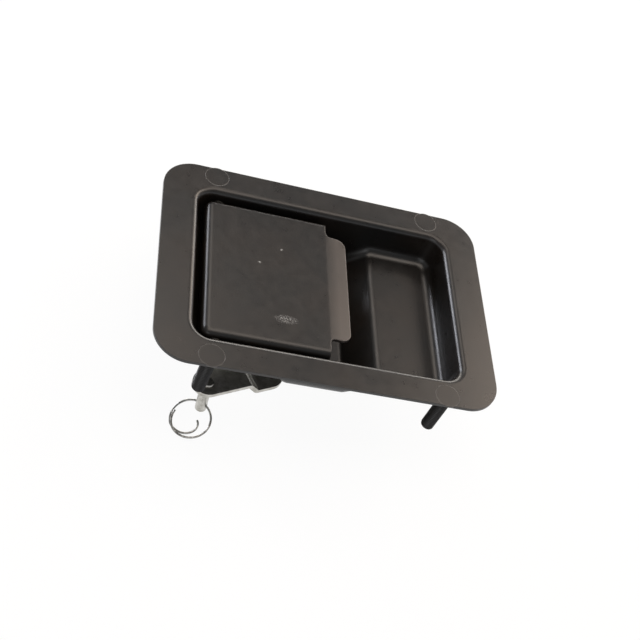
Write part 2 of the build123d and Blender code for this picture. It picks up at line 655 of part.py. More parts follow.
def paddle_return_spring():
    """Torsion spring on the hinge pin: one leg on the platform, one hooked round the finger."""
    half_wire = PADDLE_SPRING_WIRE / 2
    foot = (-PADDLE_SPRING_FOOT, HINGE_DEPTH - PLATFORM_DEPTH + half_wire + REST_GAP)
    hook = (FINGER_OFFSET + FINGER_SHEET + half_wire + REST_GAP, HINGE_DEPTH - PADDLE_SPRING_HOOK_DEPTH)
    spring = torsion_spring(
        PADDLE_SPRING_WIRE, PADDLE_SPRING_RADIUS, PADDLE_SPRING_TURNS,
        foot, hook, 0.0, 0.0, PADDLE_SPRING_HOOK,
    )
    length = PADDLE_SPRING_TURNS * (PADDLE_SPRING_WIRE + COIL_GAP)
    seat = Plane(
        origin=(HINGE_X, PADDLE_SPRING_END_Y + length, height(HINGE_DEPTH)),
        x_dir=(1, 0, 0), z_dir=(0, -1, 0),
    )
    return seat.location * spring


def lever_return_spring():
    """Torsion spring on the post: one leg on the side of the well, one behind the drive pin."""
    half_wire = LEVER_SPRING_WIRE / 2
    start_depth = LEVER_SPRING_TOP_DEPTH + half_wire
    wall = WELL_LEFT - SHEET * DRAFT_OFFSET + (start_depth - PLATFORM_DEPTH) * DRAFT_RUN
    foot = (wall - half_wire - REST_GAP - PIVOT.X, -LEVER_SPRING_FOOT)
    pin = (DRIVE_PIN.X - PIVOT.X, PIVOT.Y - DRIVE_PIN.Y)
    spring = torsion_spring(
        LEVER_SPRING_WIRE, LEVER_SPRING_RADIUS, LEVER_SPRING_TURNS,
        foot, pin, DRIVE_PIN_DIAMETER / 2 + half_wire + REST_GAP, LEVER_SPRING_OVERRUN, 0.0,
    )
    seat = Plane(origin=(PIVOT.X, PIVOT.Y, height(start_depth)), x_dir=(1, 0, 0), z_dir=(0, 0, -1))
    return seat.location * spring


def main():
    """Builds every piece and writes one STEP file for each."""
    pin, clip_face = hinge_pin()
    post, washer, post_clip = pivot_post()
    pieces = {
        "dish": dish(),
        "hinge_pin": pin,
        "hinge_pin_clip": hinge_clip(clip_face),
        "hinge_spacer_top": hinge_spacer(1),
        "hinge_spacer_bottom": hinge_spacer(-1),
        "pivot_post": post,
        "pivot_washer": washer,
        "pivot_clip": post_clip,
        "paddle_return_spring": paddle_return_spring(),
        "lever_return_spring": lever_return_spring(),
        "paddle": paddle(),
        "drive_finger": drive_finger(),
        "lever": lever(),
        "drive_pin": drive_pin(),
        "cable_pin": cable_pin(),
        "cotter_ring": cotter_ring(),
    }
    for name, (x, y) in stud_places().items():
        pieces[name] = mounting_stud(x, y)
    os.makedirs("parts", exist_ok=True)
    for name, shape in pieces.items():
        export_step(shape, f"parts/{name}.step")


if __name__ == "__main__":
    main()
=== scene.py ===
"""Dresses the flush-mounted paddle latch: painted sheet, plated lever, springs, threads and the stage."""

import json
from math import atan2, cos, degrees, hypot, pi, radians, sin, sqrt

import bmesh
import bpy
from mathutils import Euler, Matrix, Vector


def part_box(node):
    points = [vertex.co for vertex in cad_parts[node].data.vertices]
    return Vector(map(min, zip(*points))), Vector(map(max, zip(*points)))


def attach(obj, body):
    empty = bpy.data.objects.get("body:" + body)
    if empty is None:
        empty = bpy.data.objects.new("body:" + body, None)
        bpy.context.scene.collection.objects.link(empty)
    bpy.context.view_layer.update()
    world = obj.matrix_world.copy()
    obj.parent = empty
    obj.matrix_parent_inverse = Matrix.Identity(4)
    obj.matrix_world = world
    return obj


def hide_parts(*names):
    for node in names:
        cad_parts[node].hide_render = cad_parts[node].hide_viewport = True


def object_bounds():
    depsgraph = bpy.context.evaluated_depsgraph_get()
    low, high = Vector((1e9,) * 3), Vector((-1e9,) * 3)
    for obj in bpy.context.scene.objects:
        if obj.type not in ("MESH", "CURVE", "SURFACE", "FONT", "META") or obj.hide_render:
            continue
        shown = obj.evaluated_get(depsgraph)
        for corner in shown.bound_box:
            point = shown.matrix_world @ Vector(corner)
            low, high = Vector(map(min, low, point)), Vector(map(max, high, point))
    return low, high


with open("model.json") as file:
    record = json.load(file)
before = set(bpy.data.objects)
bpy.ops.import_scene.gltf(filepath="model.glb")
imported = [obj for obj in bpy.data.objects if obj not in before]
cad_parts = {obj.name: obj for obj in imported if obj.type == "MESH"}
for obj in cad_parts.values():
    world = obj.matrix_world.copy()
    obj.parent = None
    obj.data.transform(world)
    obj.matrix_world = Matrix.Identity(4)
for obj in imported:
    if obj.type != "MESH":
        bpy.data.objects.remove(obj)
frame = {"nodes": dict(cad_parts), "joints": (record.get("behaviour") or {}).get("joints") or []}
bpy.context.view_layer.update()
cad_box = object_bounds()

bl_info = {
    "name": "Paddle latch",
    "version": (1, 0, 0),
    "blender": (4, 5, 0),
    "location": "View3D > Sidebar > Latch",
    "description": "Finishes, threads, springs and a plain stage for a flush-mounted paddle latch",
    "category": "Object",
}

MM = 0.001

# gap between the turns of a coil, and degrees between the points of its line
COIL_GAP = 0.1 * MM
COIL_STEP = 15
# sizes of the solids that the springs' legs rest on
FINGER_THICKNESS = 2.5 * MM
DRIVE_PIN_RADIUS = 2.5 * MM
REST_GAP = 0.05 * MM
# edges that turn by more than this stay sharp
SHARP_ANGLE = radians(35)
# share of a wire's thickness that its smooth curve takes, which keeps it inside its solid
WIRE_FIT = 0.98
# dust in the paint, drawn coarser than real dust, so that it shows
DUST_SPACING_MM = 5.0
# share of pale paint on the tab, a painted highlight where the tab catches the light
TAB_HIGHLIGHT_SHARE = 0.17

# the room's soft lights: name, place and target in metres, size in metres, power in watts, colour
SOFT_LIGHTS = (
    ("Overhead softbox", (0.30, 0.02, 0.90), (0.30, 0.02, 0.0), (1.3, 0.5), 5.0, "#fff0e2"),
    ("Right softbox", (0.80, 0.42, 0.90), (0, 0, 0), (0.5, 0.4), 2.1, "#fff0e2"),
    ("Left softbox", (-0.02, 0.50, 0.90), (0, 0, 0), (0.35, 0.4), 1.1, "#fff0e2"),
    ("Right panel", (0.80, 0.66, 0.62), (0, 0, 0), (0.4, 0.6), 3.8, "#ffecda"),
    ("Back left window", (-0.68, 0.66, 0.24), (0, 0, 0), (0.4, 0.36), 4.8, "#f4f6ff"),
    ("Bend softbox", (-0.22, 0.80, 0.88), (0, 0, 0), (0.3, 0.4), 0.8, "#f6eee6"),
    ("Shelf softbox", (0.43, 0.80, 0.90), (0, 0, 0), (0.22, 0.2), 0.07, "#fff0e6"),
    ("Back wall", (0.35, 1.70, 0.30), (0, 0, 0), (2.6, 0.5), 20.0, "#fff6ec"),
    ("Front fill", (-0.35, -0.85, 0.55), (0, 0, 0), (0.6, 0.5), 1.0, "#ffffff"),
)
# camera: place in metres, turn in degrees, lens in millimetres
CAMERA_PLACE = (-0.13535, -0.3144, 0.34655)
CAMERA_TURN = (39.145, -19.070, -2.180)
CAMERA_LENS = 62.846


# ---------------------------------------------------------------- colours and shader nodes
def linear(hex_colour):
    """Linear RGBA of an sRGB hex colour."""
    channels = [int(hex_colour[i:i + 2], 16) / 255 for i in (1, 3, 5)]
    return (*[c / 12.92 if c <= 0.04045 else ((c + 0.055) / 1.055) ** 2.4 for c in channels], 1.0)


def add(tree, kind, values=None, links=None, **attributes):
    """Adds one node with its attributes, socket values and incoming links, and returns it."""
    node = tree.nodes.new(kind)
    for name, value in attributes.items():
        setattr(node, name, value)
    for socket, value in (values or {}).items():
        node.inputs[socket].default_value = value
    for socket, source in (links or {}).items():
        tree.links.new(source, node.inputs[socket])
    return node


def span(low, high, to_min=0.0, to_max=1.0):
    """Settings of a straight ramp from one range of a value to another."""
    return {"From Min": low, "From Max": high, "To Min": to_min, "To Max": to_max}


def clouds(size_mm, detail=2.0, roughness=0.5):
    """Settings of cloud noise whose blotches are about size_mm across."""
    return {"Scale": 1 / size_mm, "Detail": detail, "Roughness": roughness}


def new_material(name):
    """Empty node material, its tree, its Principled shader and its coordinates in millimetres."""
    material = bpy.data.materials.new(name)
    material.use_nodes = True
    tree = material.node_tree
    tree.nodes.clear()
    shader = add(tree, "ShaderNodeBsdfPrincipled")
    add(tree, "ShaderNodeOutputMaterial", links={"Surface": shader.outputs["BSDF"]})
    coords = add(tree, "ShaderNodeTexCoord")
    mm = add(tree, "ShaderNodeMapping", {"Scale": (1 / MM,) * 3}, {"Vector": coords.outputs["Object"]})
    return material, tree, shader, mm.outputs["Vector"]


# ---------------------------------------------------------------- marks in the paint
def scuff_mask(tree, vector, centre_mm, reach_mm, grain_mm, cut):
    """Patch of fine broken marks round one place, one where the paint is marked."""
    away = add(tree, "ShaderNodeVectorMath", {1: centre_mm}, {0: vector}, operation="SUBTRACT")
    scaled = add(
        tree, "ShaderNodeVectorMath", {1: [1 / r for r in reach_mm]},
        {0: away.outputs[0]}, operation="MULTIPLY",
    )
    distance = add(tree, "ShaderNodeVectorMath", links={0: scaled.outputs[0]}, operation="LENGTH")
    near = add(tree, "ShaderNodeMapRange", span(1.0, 0.3), {"Value": distance.outputs["Value"]})
    grain = add(tree, "ShaderNodeTexNoise", clouds(grain_mm, 3.0, 0.7), {"Vector": vector})
    grains = add(tree, "ShaderNodeMapRange", span(cut, cut + 0.12), {"Value": grain.outputs["Fac"]})
    patch = add(
        tree, "ShaderNodeMath",
        links={0: near.outputs["Result"], 1: grains.outputs["Result"]}, operation="MULTIPLY",
    )
    return patch.outputs[0]


def dust_mask(tree, vector):
    """Rare specks a fraction of a millimetre across, one where a grain of dust sits in the film."""
    cells = add(tree, "ShaderNodeTexVoronoi", {"Scale": 1 / DUST_SPACING_MM}, {"Vector": vector})
    speck = add(tree, "ShaderNodeMapRange", span(0.035, 0.018), {"Value": cells.outputs["Distance"]})
    tint = add(tree, "ShaderNodeSeparateColor", links={"Color": cells.outputs["Color"]})
    rare = add(tree, "ShaderNodeMapRange", span(0.93, 0.96), {"Value": tint.outputs["Red"]})
    dust = add(
        tree, "ShaderNodeMath",
        links={0: speck.outputs["Result"], 1: rare.outputs["Result"]}, operation="MULTIPLY",
    )
    return dust.outputs[0]


def rim_mark(tree, vector, across_mm, along_mm, radius_mm):
    """Thin ring round each of four places that mirror one another about the middle."""
    folded = add(tree, "ShaderNodeVectorMath", links={0: vector}, operation="ABSOLUTE")
    values = {1: (1.0, 1.0, 0.0), 2: (-across_mm, -along_mm, 0.0)}
    flat = add(tree, "ShaderNodeVectorMath", values, {0: folded.outputs[0]}, operation="MULTIPLY_ADD")
    distance = add(tree, "ShaderNodeVectorMath", links={0: flat.outputs[0]}, operation="LENGTH")
    ring = add(
        tree, "ShaderNodeMapRange", span(radius_mm - 0.45, radius_mm - 0.1, 0.0, 0.8),
        {"Value": distance.outputs["Value"]},
    )
    return ring.outputs["Result"]


# ---------------------------------------------------------------- materials
def e_coated_steel(name, colour, brown, scuffs=(), rims=None, edge_mm=0.35, tab_highlight=None):
    """Cathodic e-coat on deep-drawn steel: a thin even film with a satin sheen.

    To the eye it is almost black where it faces dark things and takes a soft smoky grey from the
    light, with slow brownish clouds from uneven curing, faint orange peel and a few specks of dust.
    A painted highlight makes the paint of the tab paler where it catches the light, and every sharp
    edge is rounded by edge_mm, as deburring and paint do.
    """
    material, tree, shader, mm = new_material(name)
    curing = add(tree, "ShaderNodeTexNoise", clouds(26.0, 3.0, 0.55), {"Vector": mm})
    cast = add(tree, "ShaderNodeMapRange", span(0.38, 0.66), {"Value": curing.outputs["Fac"]})
    paint = add(
        tree, "ShaderNodeMix", {6: colour, 7: brown}, {"Factor": cast.outputs["Result"]}, data_type="RGBA",
    )
    fine = add(tree, "ShaderNodeTexNoise", clouds(5.0, 4.0, 0.6), {"Vector": mm})
    rough = add(tree, "ShaderNodeMapRange", span(0.3, 0.7, 0.27, 0.34), {"Value": fine.outputs["Fac"]})

    marks = dust_mask(tree, mm)
    for centre, reach, grain, cut in scuffs:
        patch = scuff_mask(tree, mm, centre, reach, grain, cut)
        marks = add(tree, "ShaderNodeMath", links={0: marks, 1: patch}, operation="MAXIMUM").outputs[0]
    layers = [(marks, "#9a9b9a")]
    if rims:
        layers.append((rim_mark(tree, mm, *rims), "#3b3733"))
    # painted highlight: the tab's paint turns paler along X, standing in for the light it catches
    if tab_highlight:
        along = add(tree, "ShaderNodeSeparateXYZ", links={"Vector": mm})
        tab_highlight_ramp = add(tree, "ShaderNodeMapRange", span(*tab_highlight), {"Value": along.outputs["X"]})
        layers.append((tab_highlight_ramp.outputs["Result"], "#8d827b"))
    for share, hex_colour in layers:
        paint = add(
            tree, "ShaderNodeMix", {7: linear(hex_colour)},
            {"Factor": share, 6: paint.outputs[2]}, data_type="RGBA",
        )
    tree.links.new(paint.outputs[2], shader.inputs["Base Color"])
    dulled = add(
        tree, "ShaderNodeMath", {1: 0.25}, {0: marks, 2: rough.outputs["Result"]}, operation="MULTIPLY_ADD",
    )
    tree.links.new(dulled.outputs[0], shader.inputs["Roughness"])

    rounded = add(tree, "ShaderNodeBevel", {"Radius": edge_mm * MM}, samples=6)
    pores = add(tree, "ShaderNodeTexNoise", clouds(1.4, 1.0), {"Vector": mm})
    peel = add(
        tree, "ShaderNodeBump", {"Strength": 0.35, "Distance": 0.012 * MM},
        {"Height": pores.outputs["Fac"], "Normal": rounded.outputs["Normal"]},
    )
    drawn = add(tree, "ShaderNodeTexNoise", clouds(22.0, 1.0), {"Vector": mm})
    wave = add(
        tree, "ShaderNodeBump", {"Strength": 0.5, "Distance": 0.05 * MM},
        {"Height": drawn.outputs["Fac"], "Normal": peel.outputs["Normal"]},
    )
    tree.links.new(wave.outputs["Normal"], shader.inputs["Normal"])
    shader.inputs["IOR"].default_value = 1.52
    return material


def zinc_plated_steel(name, bright, dull, grain_mm, rough_low, rough_high):
    """Bright zinc electroplate on pressed or turned steel.

    To the eye it is a pale grey metal with cloudy passivation and fine tool or rolling marks.
    """
    material, tree, shader, mm = new_material(name)
    film = add(tree, "ShaderNodeTexNoise", clouds(4.0, 4.0, 0.6), {"Vector": mm})
    share = add(tree, "ShaderNodeMapRange", span(0.35, 0.70), {"Value": film.outputs["Fac"]})
    zinc = add(
        tree, "ShaderNodeMix", {6: bright, 7: dull}, {"Factor": share.outputs["Result"]}, data_type="RGBA",
    )
    tree.links.new(zinc.outputs[2], shader.inputs["Base Color"])
    streaks = add(tree, "ShaderNodeMapping", {"Scale": (0.15, 1.0, 1.0)}, {"Vector": mm})
    grain = add(
        tree, "ShaderNodeTexNoise", clouds(grain_mm, 4.0, 0.7), {"Vector": streaks.outputs["Vector"]},
    )
    rough = add(
        tree, "ShaderNodeMapRange", span(0.3, 0.7, rough_low, rough_high), {"Value": grain.outputs["Fac"]},
    )
    tree.links.new(rough.outputs["Result"], shader.inputs["Roughness"])
    bump = add(
        tree, "ShaderNodeBump", {"Strength": 0.3, "Distance": 0.01 * MM}, {"Height": grain.outputs["Fac"]},
    )
    tree.links.new(bump.outputs["Normal"], shader.inputs["Normal"])
    shader.inputs["Metallic"].default_value = 1.0
    return material


def phosphated_steel(name, colour, dark):
    """Manganese-phosphated spring steel.

    To the eye it is a matt, slightly crystalline dark grey with an oily sheen.
    """
    material, tree, shader, mm = new_material(name)
    crystals = add(tree, "ShaderNodeTexNoise", clouds(0.5, 4.0, 0.7), {"Vector": mm})
    share = add(tree, "ShaderNodeMapRange", span(0.35, 0.65), {"Value": crystals.outputs["Fac"]})
    film = add(
        tree, "ShaderNodeMix", {6: colour, 7: dark}, {"Factor": share.outputs["Result"]}, data_type="RGBA",
    )
    tree.links.new(film.outputs[2], shader.inputs["Base Color"])
    rough = add(tree, "ShaderNodeMapRange", span(0.3, 0.7, 0.42, 0.58), {"Value": crystals.outputs["Fac"]})
    tree.links.new(rough.outputs["Result"], shader.inputs["Roughness"])
    bump = add(
        tree, "ShaderNodeBump", {"Strength": 0.3, "Distance": 0.01 * MM},
        {"Height": crystals.outputs["Fac"]},
    )
    tree.links.new(bump.outputs["Normal"], shader.inputs["Normal"])
    shader.inputs["Metallic"].default_value = 0.8
    return material


def spring_wire(name, colour, dark, rough_low, rough_high):
    """Hard-drawn spring wire.

    To the eye it is bright metal with fine draw marks and slight darker blotches.
    """
    material, tree, shader, mm = new_material(name)
    blotches = add(tree, "ShaderNodeTexNoise", clouds(2.5, 3.0), {"Vector": mm})
    share = add(tree, "ShaderNodeMapRange", span(0.40, 0.68), {"Value": blotches.outputs["Fac"]})
    steel = add(
        tree, "ShaderNodeMix", {6: colour, 7: dark}, {"Factor": share.outputs["Result"]}, data_type="RGBA",
    )
    tree.links.new(steel.outputs[2], shader.inputs["Base Color"])
    marks = add(tree, "ShaderNodeTexNoise", clouds(0.25, 3.0, 0.7), {"Vector": mm})
    rough = add(
        tree, "ShaderNodeMapRange", span(0.3, 0.7, rough_low, rough_high), {"Value": marks.outputs["Fac"]},
    )
    tree.links.new(rough.outputs["Result"], shader.inputs["Roughness"])
    shader.inputs["Metallic"].default_value = 1.0
    return material


# ---------------------------------------------------------------- mesh helpers
def linked(name, data):
    """Object of this data in the scene."""
    thing = bpy.data.objects.new(name, data)
    bpy.context.scene.collection.objects.link(thing)
    return thing


def mesh_object(name, bm):
    """Object made from a bmesh, smooth but for its sharp edges."""
    bmesh.ops.recalc_face_normals(bm, faces=bm.faces)
    for edge in bm.edges:
        edge.smooth = not (edge.is_manifold and edge.calc_face_angle(0.0) > SHARP_ANGLE)
    for face in bm.faces:
        face.smooth = True
    mesh = bpy.data.meshes.new(name)
    bm.to_mesh(mesh)
    bm.free()
    return linked(name, mesh)


def ringed(bm, rings):
    """Skins closed rings of equal count, capping both ends."""
    rows = [[bm.verts.new(point) for point in ring] for ring in rings]
    count = len(rows[0])
    for upper, lower in zip(rows, rows[1:]):
        for i in range(count):
            j = (i + 1) % count
            bm.faces.new((upper[i], upper[j], lower[j], lower[i]))
    bm.faces.new(rows[0])
    bm.faces.new(rows[-1])


def wire_curve(name, points, thickness):
    """Round wire along a smooth line, with closed ends."""
    curve = bpy.data.curves.new(name, "CURVE")
    curve.dimensions = "3D"
    spline = curve.splines.new("NURBS")
    spline.points.add(len(points) - 1)
    for place, point in zip(spline.points, points):
        place.co = (*point, 1.0)
    spline.order_u = 4
    spline.use_endpoint_u = True
    spline.resolution_u = 4
    curve.bevel_depth = thickness / 2
    curve.bevel_resolution = 5
    curve.use_fill_caps = True
    return linked(name, curve)


def finish_node(node, material):
    """Gives a carried-over CAD solid its material."""
    mesh = frame["nodes"][node].data
    mesh.materials.clear()
    mesh.materials.append(material)


def finish_piece(piece, body, slot, material, *nodes):
    """Gives a new piece its material, its body and the solids it stands for."""
    piece.data.materials.clear()
    piece.data.materials.append(material)
    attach(piece, body)
    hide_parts(*nodes)


# ---------------------------------------------------------------- settings
class LatchSizes(bpy.types.PropertyGroup):
    """Sizes that the visual pieces are made to."""

    thread_pitch: bpy.props.FloatProperty(
        name="Thread pitch", description="Pitch of the stud threads",
        default=1.0 * MM, min=0.25 * MM, unit="LENGTH", precision=5,
    )
    thread_depth: bpy.props.FloatProperty(
        name="Thread depth", description="Height of the stud thread from root to crest",
        default=0.55 * MM, min=0.0, unit="LENGTH", precision=5,
    )
    stud_radius: bpy.props.FloatProperty(
        name="Stud radius", description="Radius of the studs over their threads",
        default=2.97 * MM, unit="LENGTH", precision=5,
    )
    collar_radius: bpy.props.FloatProperty(
        name="Collar radius", description="Radius of the stud's collar in the flange",
        default=3.3 * MM, unit="LENGTH", precision=5,
    )
    stud_head_thickness: bpy.props.FloatProperty(
        name="Stud head", description="Thickness of the flush stud heads",
        default=0.8 * MM, unit="LENGTH", precision=5,
    )
    ring_wire: bpy.props.FloatProperty(
        name="Ring wire", description="Thickness of the split ring's wire",
        default=1.0 * MM, unit="LENGTH", precision=5,
    )
    ring_radius: bpy.props.FloatProperty(
        name="Ring radius", description="Radius of the split ring at the middle of its wire",
        default=8.65 * MM, unit="LENGTH", precision=5,
    )
    ring_hang: bpy.props.FloatProperty(
        name="Ring hang", description="Angle between the split ring and the square of its pin",
        default=radians(15.5), unit="ROTATION",
    )
    pin_lean: bpy.props.FloatProperty(
        name="Pin lean", description="Lean of the cable pin out of square with the lever",
        default=radians(6.0), unit="ROTATION",
    )
    lever_angle: bpy.props.FloatProperty(
        name="Lever angle", description="Turn of the trip lever's straight edge from the long side",
        default=radians(26.4), unit="ROTATION",
    )
    pivot_across: bpy.props.FloatProperty(
        name="Pivot across", description="Distance from the line of the lever's lobes to its pivot",
        default=13.9 * MM, unit="LENGTH", precision=5,
    )
    rear_lobe_along: bpy.props.FloatProperty(
        name="Rear lobe", description="Distance along the lever from its pivot to its rear lobe",
        default=20.6 * MM, unit="LENGTH", precision=5,
    )
    tab_length: bpy.props.FloatProperty(
        name="Tab length", description="Length of the grip tab past the body of the paddle",
        default=9.5 * MM, unit="LENGTH", precision=5,
    )
    paddle_spring_wire: bpy.props.FloatProperty(
        name="Paddle spring wire", description="Wire thickness of the paddle's return spring",
        default=1.0 * MM, unit="LENGTH", precision=5,
    )
    lever_spring_wire: bpy.props.FloatProperty(
        name="Lever spring wire", description="Wire thickness of the lever's return spring",
        default=1.2 * MM, unit="LENGTH", precision=5,
    )


def colour_property(name, description, hex_colour):
    """Colour setting with its default given as sRGB hex."""
    return bpy.props.FloatVectorProperty(
        name=name, description=description, subtype="COLOR", size=4,
        default=linear(hex_colour), min=0.0, max=1.0,
    )


class LatchColours(bpy.types.PropertyGroup):
    """Colours of the finishes."""

    paint: colour_property("Paint", "Black e-coat", "#0e0d0c")
    paint_brown: colour_property("Paint cast", "Brown cast in the e-coat", "#18130f")
    zinc: colour_property("Zinc", "Bright zinc plate", "#c9c7c1")
    zinc_dull: colour_property("Dull zinc", "Clouded zinc plate", "#a09d95")
    steel: colour_property("Clip steel", "Phosphated spring steel", "#3a3937")
    wire: colour_property("Wire", "Bright spring wire", "#b4b3af")
    floor: colour_property("Floor", "Floor and backdrop", "#f6f6f5")


# ---------------------------------------------------------------- pieces
class LATCH_OT_dish(bpy.types.Operator):
    """Paint the dish"""

    bl_idname = "latch.dish"
    bl_label = "Dish"

    def execute(self, context):
        colours = context.scene.latch_colours
        finish_node("dish", e_coated_steel("E-coat on drawn steel", colours.paint, colours.paint_brown))
        return {"FINISHED"}


class LATCH_OT_studs(bpy.types.Operator):
    """Make the four threaded studs with their flush heads"""

    bl_idname = "latch.studs"
    bl_label = "Studs"

    def execute(self, context):
        sizes = context.scene.latch_sizes
        colours = context.scene.latch_colours
        low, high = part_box("mounting_stud_top_right")
        centre = [(low[i] + high[i]) / 2 / MM for i in (0, 1)]
        rims = (*centre, (high[0] - low[0]) / 2 / MM)
        paint = e_coated_steel("E-coat on turned steel", colours.paint, colours.paint_brown, rims=rims)
        for name in [n for n in frame["nodes"] if n.startswith("mounting_stud")]:
            stud = stud_piece(name, sizes)
            finish_piece(stud, "housing", "stud", paint, name)
        return {"FINISHED"}


def stud_piece(node, sizes):
    """Turned head and a threaded shank with a helical ridge that runs out under the head."""
    low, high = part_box(node)
    middle = Vector(((low[0] + high[0]) / 2, (low[1] + high[1]) / 2, 0))
    head_radius = (high[0] - low[0]) / 2
    top = high[2]
    under_head = top - sizes.stud_head_thickness
    runout = -1.0 * MM
    tip = low[2]
    chamfer = 0.8 * MM
    broken_edge = 0.06 * MM
    count = 40
    rings_a_turn = 8

    def ring(radius_at, z):
        points = []
        for i in range(count):
            turn = 2 * pi * i / count
            r = radius_at(turn, z)
            points.append(middle + Vector((r * cos(turn), r * sin(turn), z)))
        return points

    def thread(turn, z):
        phase = (z / sizes.thread_pitch - turn / (2 * pi)) % 1.0
        groove = abs(2 * phase - 1)
        flank = min(1.0, max(0.0, (groove - 0.12) / 0.76))
        fade = min(1.0, max(0.0, (runout - z) / sizes.thread_pitch))
        nose = max(0.0, chamfer - (z - tip))
        return min(sizes.stud_radius - sizes.thread_depth * flank * fade, sizes.stud_radius - nose)

    rings = [
        ring(lambda turn, z: head_radius - broken_edge, top),
        ring(lambda turn, z: head_radius, top - broken_edge),
        ring(lambda turn, z: head_radius, under_head),
        ring(lambda turn, z: sizes.collar_radius, under_head),
        ring(lambda turn, z: sizes.collar_radius, 0.0),
    ]
    steps = int(-tip / sizes.thread_pitch * rings_a_turn)
    rings += [ring(thread, tip * i / steps) for i in range(steps + 1)]
    bm = bmesh.new()
    ringed(bm, rings)
    return mesh_object(f"threaded_{node}", bm)


class LATCH_OT_paddle(bpy.types.Operator):
    """Paint the paddle and its drive finger, with the marks of handling and a painted highlight on the tab
    """

    bl_idname = "latch.paddle"
    bl_label = "Paddle"

    def execute(self, context):
        sizes = context.scene.latch_sizes
        colours = context.scene.latch_colours
        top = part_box("paddle")[1][2] / MM
        scuffs = (
            ((-19.0, -23.4, top), (6.0, 2.6, 3.0), 0.55, 0.50),
            ((-30.7, 5.7, top), (0.9, 0.8, 2.0), 0.40, 0.46),
            ((-20.6, 15.3, top), (0.8, 0.8, 2.0), 0.40, 0.46),
        )
        # painted highlight on the tab: paler paint from 1 mm before its root to 5 mm along it, for the
        # light it catches
        tab_start = (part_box("paddle")[1][0] - sizes.tab_length) / MM
        tab_highlight = (tab_start - 1.0, tab_start + 5.0, 0.0, TAB_HIGHLIGHT_SHARE)
        paint = e_coated_steel(
            "E-coat on folded steel", colours.paint, colours.paint_brown, scuffs,
            edge_mm=0.7, tab_highlight=tab_highlight,
        )
        finish_node("paddle", paint)
        finish_node("drive_finger", paint)
        return {"FINISHED"}


class LATCH_OT_lever(bpy.types.Operator):
    """Plate the trip lever and the two pins staked in it"""

    bl_idname = "latch.lever"
    bl_label = "Trip lever"

    def execute(self, context):
        colours = context.scene.latch_colours
        pressed = zinc_plated_steel(
            "Zinc on pressed steel", colours.zinc, colours.zinc_dull, 0.5, 0.30, 0.46,
        )
        turned = zinc_plated_steel("Zinc on turned steel", colours.zinc, colours.zinc_dull, 0.3, 0.22, 0.36)
        finish_node("lever", pressed)
        for node in ("drive_pin", "cable_pin"):
            finish_node(node, turned)
        web = rear_lobe_web(context.scene.latch_sizes)
        finish_piece(web, "trip_lever", "lever", pressed)
        return {"FINISHED"}


def rear_lobe_web(sizes):
    """Thin web that closes the slot of the rear lobe, level with the back of the sheet."""
    pivot = Vector(next(joint for joint in frame["joints"] if joint["name"] == "lever_pivot")["pos_m"])
    along = Vector((cos(sizes.lever_angle), sin(sizes.lever_angle), 0))
    across = Vector((-along.y, along.x, 0))
    outer = pivot + along * sizes.rear_lobe_along - across * sizes.pivot_across
    slot_reach = 3.0 * MM
    radius = 3.28 * MM
    inner = outer - along * slot_reach
    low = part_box("lever")[0][2]
    arc = [radians(-90 + 180 * i / 16) for i in range(17)]
    outline = [outer + along * cos(a) * radius + across * sin(a) * radius for a in arc]
    outline += [inner - along * cos(a) * radius - across * sin(a) * radius for a in arc]
    levels = (low + 0.02 * MM, low + 0.9 * MM)
    bm = bmesh.new()
    ringed(bm, [[Vector((p.x, p.y, z)) for p in outline] for z in levels])
    return mesh_object("rear_lobe_web", bm)


class LATCH_OT_pivots(bpy.types.Operator):
    """Finish the hinge pin, spacers, post, washer and clips"""

    bl_idname = "latch.pivots"
    bl_label = "Pins, post and clips"

    def execute(self, context):
        colours = context.scene.latch_colours
        turned = zinc_plated_steel("Zinc on turned pins", colours.zinc_dull, colours.zinc, 0.3, 0.26, 0.42)
        clip = phosphated_steel("Phosphated clip steel", colours.steel, linear("#22211f"))
        blacked = phosphated_steel("Phosphated turned steel", linear("#1c1b1a"), linear("#131312"))
        for node in ("pivot_post", "pivot_washer"):
            finish_node(node, turned)
        for node in ("hinge_pin_clip", "pivot_clip"):
            finish_node(node, clip)
        for node in ("hinge_pin", "hinge_spacer_top", "hinge_spacer_bottom"):
            finish_node(node, blacked)
        return {"FINISHED"}


def split_ring_points(sizes):
    """Line of a ring through the cross hole, whose two arms pass each other and curl inwards."""
    swing = next(joint for joint in frame["joints"] if joint["name"] == "ring_swing")
    hole = Vector(swing["pos_m"])
    across = Vector(swing["axis"]).normalized()
    down = Vector((sin(sizes.pin_lean), 0, -cos(sizes.pin_lean)))
    side = down.cross(across)
    hang = side * cos(sizes.ring_hang) + down * sin(sizes.ring_hang)
    normal = hang.cross(across)
    # each arm: degrees from the hole to its end, degrees where it leaves the circle, and how far
    # it has curled inwards at its end
    outer = (266.0, 205.0, 1.25 * MM)
    inner = (296.0, 135.0, 5.8 * MM)
    side_step_mm = 0.75
    steps = 72
    points = []
    for i in range(steps + 1):
        angle = -inner[0] + (inner[0] + outer[0]) * i / steps
        arm, straight, curl = inner if angle < 0 else outer
        radius = sizes.ring_radius - curl * max(0.0, abs(angle) - straight) / (arm - straight)
        turn = radians(angle)
        in_plane = across * sin(turn) * radius - hang * cos(turn) * radius
        offset = normal * side_step_mm * MM * angle / 180
        points.append(hole + hang * sizes.ring_radius + in_plane + offset)
    return points


class LATCH_OT_ring(bpy.types.Operator):
    """Make the spring-wire split ring in the cable pin"""

    bl_idname = "latch.ring"
    bl_label = "Split ring"

    def execute(self, context):
        sizes = context.scene.latch_sizes
        colours = context.scene.latch_colours
        ring = wire_curve("split_ring_wire", split_ring_points(sizes), sizes.ring_wire * WIRE_FIT)
        bright = spring_wire("Drawn stainless wire", colours.wire, linear("#6f6e6b"), 0.22, 0.34)
        finish_piece(ring, "split_ring", "ring", bright, "cotter_ring")
        return {"FINISHED"}


